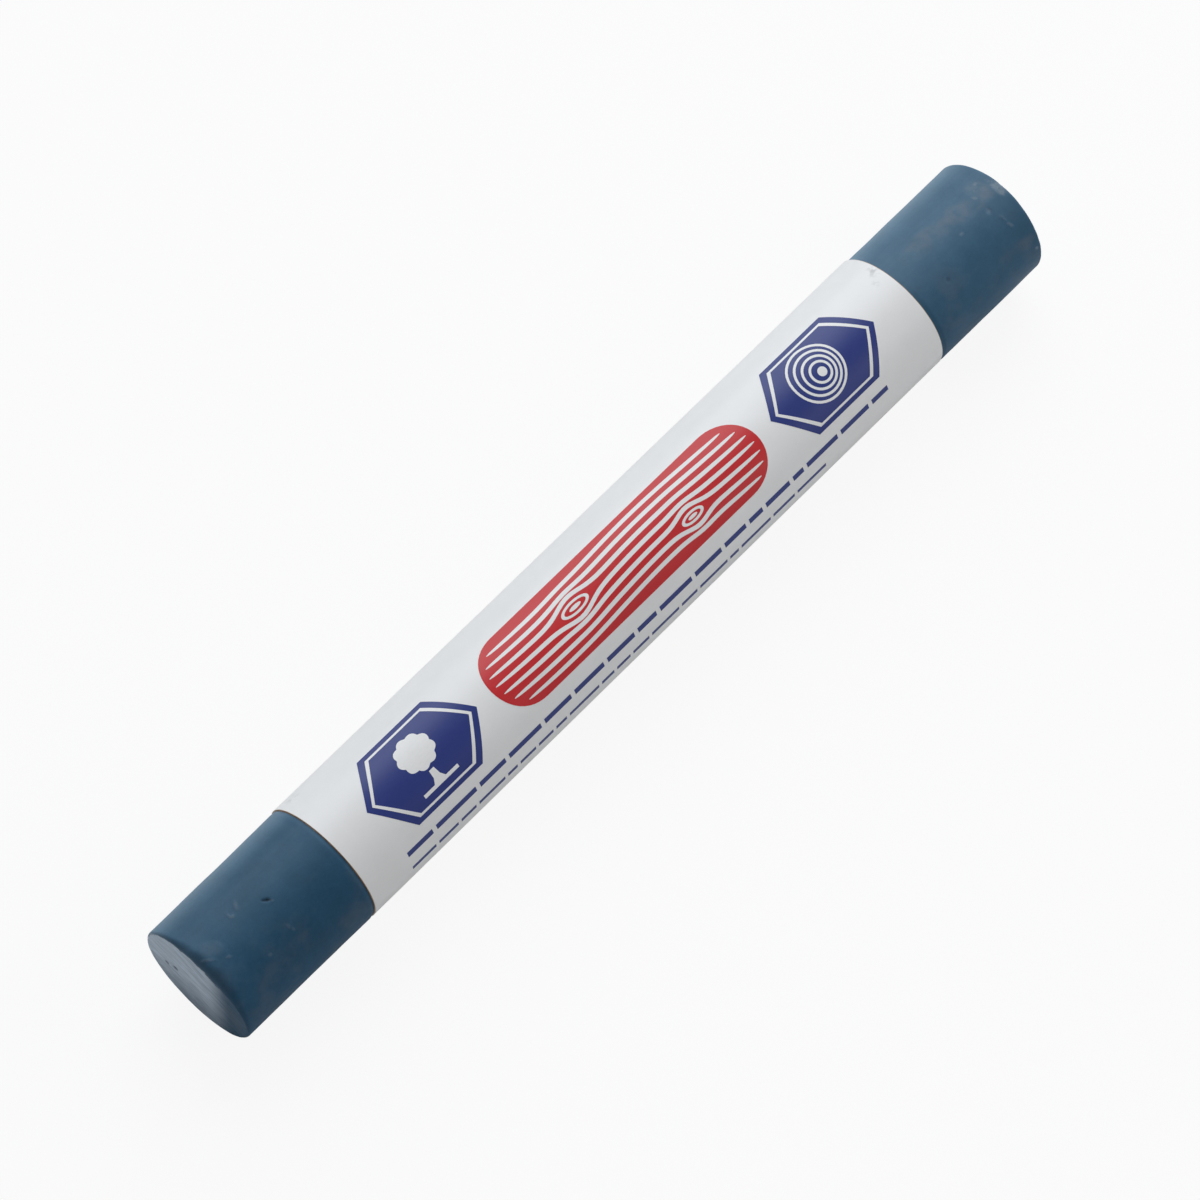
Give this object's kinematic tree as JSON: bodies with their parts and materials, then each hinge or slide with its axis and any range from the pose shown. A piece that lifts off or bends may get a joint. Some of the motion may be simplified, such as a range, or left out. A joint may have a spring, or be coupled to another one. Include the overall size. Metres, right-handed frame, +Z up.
{
  "type": "furniture repair wax stick",
  "caption": "Round bar of coloured filler wax in a wrapped paper label, rubbed into scratches and gouges in furniture.",
  "frame": {"origin": "on the surface that the label rests on, midway along the wax bar", "axes": "+X along the bar towards its far end, +Y to the back where the label laps, +Z up"},
  "size_m": [0.0938, 0.0114, 0.0113],
  "materials": {
    "filler_wax": "satin blue-grey wax, slightly mottled",
    "adhesive": "thin tacky amber coat",
    "label_paper": "semi-gloss white printed paper",
    "red_ink": "semi-gloss red print on the label",
    "blue_ink": "semi-gloss dark blue print on the label"
  },
  "bodies": {
    "root": {"wax_stick": "filler_wax", "label_adhesive": "adhesive", "paper_label": "label_paper"}
  },
  "joints": []
}
